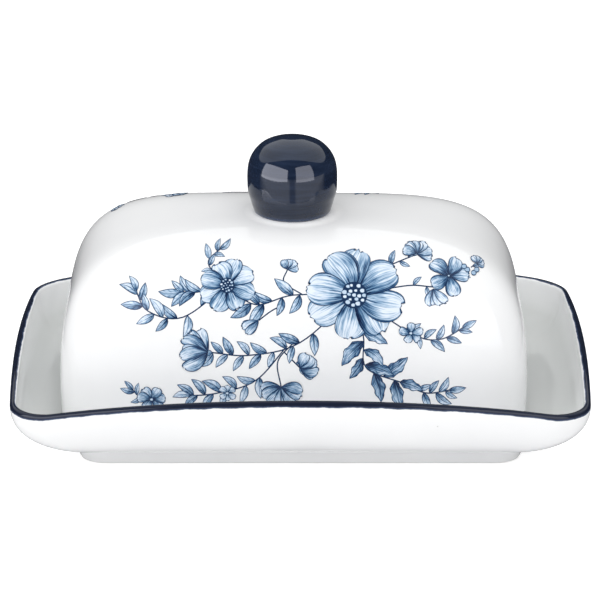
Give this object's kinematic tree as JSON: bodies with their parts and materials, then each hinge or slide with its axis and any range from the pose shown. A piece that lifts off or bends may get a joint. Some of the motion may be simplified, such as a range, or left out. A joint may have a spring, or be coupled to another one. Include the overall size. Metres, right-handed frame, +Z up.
{
  "type": "butter dish",
  "caption": "Oblong glazed ceramic butter dish on a foot ring, with a tall loose cover and a round hollow knob.",
  "frame": {"origin": "centre of the foot ring's underside, which is the centre of the dish's outline", "axes": "+X along the dish's length, +Y across it towards the back long side, +Z up"},
  "size_m": [0.1864, 0.1334, 0.0953],
  "materials": {
    "white_glaze": "clear gloss glaze over white porcelain, navy line painted on the rim, bare foot ring",
    "printed_glaze": "clear gloss glaze over white porcelain with a blue flower print on both long faces",
    "navy_glaze": "gloss navy glaze, thinner at the edges"
  },
  "bodies": {
    "dish": {"dish": "white_glaze"},
    "cover": {"cover": "printed_glaze", "knob": "navy_glaze"}
  },
  "joints": [
    {"name": "cover_lift", "type": "slide", "parent": "dish", "child": "cover", "axis": [0, 0, 1], "range_m": [0, 0.09]}
  ]
}
